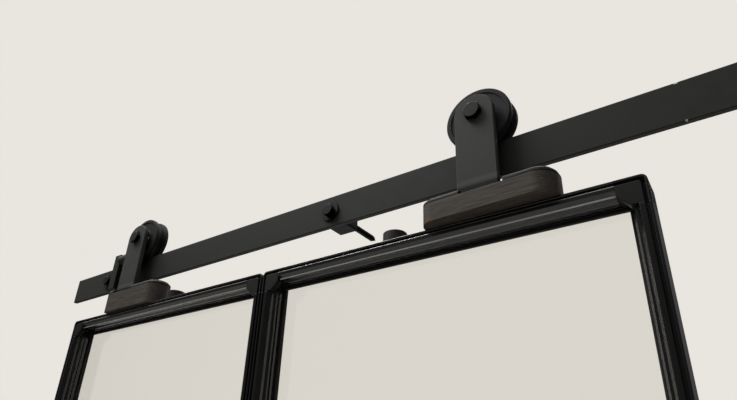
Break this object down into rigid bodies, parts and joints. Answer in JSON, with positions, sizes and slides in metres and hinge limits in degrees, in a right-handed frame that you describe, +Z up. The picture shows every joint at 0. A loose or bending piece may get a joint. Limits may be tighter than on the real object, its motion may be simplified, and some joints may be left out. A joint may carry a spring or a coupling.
{
  "type": "barn door",
  "caption": "Top-hung sliding barn door: glazed black framed panels side by side on grooved wheels that roll along a flat track bar with end stops.",
  "frame": {"origin": "on the wall plane, on the axis of the middle track fixing", "axes": "+X along the track to the right, +Y into the wall, +Z up"},
  "size_m": [2.04, 0.135, 2.1966],
  "materials": {
    "black_steel": "matt black powder coat",
    "black_fastener": "black plated, satin",
    "wheel_metal": "satin black, turned",
    "bare_steel": "bright steel",
    "frame_aluminium": "satin black powder coat on aluminium extrusion",
    "corner_plastic": "fine matt moulded plastic",
    "clear_glass": "clear float glass",
    "gasket_rubber": "black glazing rubber",
    "bumper_rubber": "black buffer rubber",
    "stained_wood": "dark stained wood with faint grain",
    "disc_plastic": "black nylon"
  },
  "bodies": {
    "track": {"coach_screws": "black_fastener", "coach_washers": "black_fastener", "standoff_1": "black_steel", "standoff_2": "black_steel", "standoff_3": "black_steel", "standoff_4": "black_steel", "standoff_5": "black_steel", "stop_bar_left": "black_steel", "stop_bar_right": "black_steel", "stop_bumper_left": "bumper_rubber", "stop_bumper_right": "bumper_rubber", "stop_screws": "black_fastener", "track_bar": "black_steel"},
    "door": {"axle_bolt_left": "black_fastener", "axle_bolt_right": "black_fastener", "axle_nut_left": "black_fastener", "axle_nut_right": "black_fastener", "axle_spacers_left": "bare_steel", "axle_spacers_right": "bare_steel", "axle_washer_left": "black_fastener", "axle_washer_right": "black_fastener", "bearing_inner_left": "bare_steel", "bearing_inner_right": "bare_steel", "block_left": "stained_wood", "block_right": "stained_wood", "disc_screws": "black_fastener", "foot_screws_left": "black_fastener", "foot_screws_right": "black_fastener", "left_panel_bottom_rail": "frame_aluminium", "left_panel_corner_bottom_left": "corner_plastic", "left_panel_corner_bottom_right": "corner_plastic", "left_panel_corner_top_left": "corner_plastic", "left_panel_corner_top_right": "corner_plastic", "left_panel_gasket": "gasket_rubber", "left_panel_glass": "clear_glass", "left_panel_left_stile": "frame_aluminium", "left_panel_right_stile": "frame_aluminium", "left_panel_top_rail": "frame_aluminium", "lift_disc_left": "disc_plastic", "lift_disc_right": "disc_plastic", "panel_strip": "gasket_rubber", "right_panel_bottom_rail": "frame_aluminium", "right_panel_corner_bottom_left": "corner_plastic", "right_panel_corner_bottom_right": "corner_plastic", "right_panel_corner_top_left": "corner_plastic", "right_panel_corner_top_right": "corner_plastic", "right_panel_gasket": "gasket_rubber", "right_panel_glass": "clear_glass", "right_panel_left_stile": "frame_aluminium", "right_panel_right_stile": "frame_aluminium", "right_panel_top_rail": "frame_aluminium", "strap_left": "black_steel", "strap_right": "black_steel"},
    "left_wheel": {"bearing_outer_left": "bare_steel", "wheel_left": "wheel_metal"},
    "right_wheel": {"bearing_outer_right": "bare_steel", "wheel_right": "wheel_metal"}
  },
  "joints": [
    {"name": "door_slide", "type": "slide", "parent": "track", "child": "door", "axis": [1, 0, 0], "range_m": [0, 1.1033]},
    {"name": "left_wheel_spin", "type": "hinge", "parent": "door", "child": "left_wheel", "pos_m": [-0.8365, -0.033, 0.051], "axis": [0, 1, 0], "continuous": true},
    {"name": "right_wheel_spin", "type": "hinge", "parent": "door", "child": "right_wheel", "pos_m": [-0.2668, -0.033, 0.051], "axis": [0, 1, 0], "continuous": true}
  ],
  "couplings": [
    {"joint": "left_wheel_spin", "follows": "door_slide", "rad_per_m": 32.573},
    {"joint": "right_wheel_spin", "follows": "door_slide", "rad_per_m": 32.573}
  ]
}
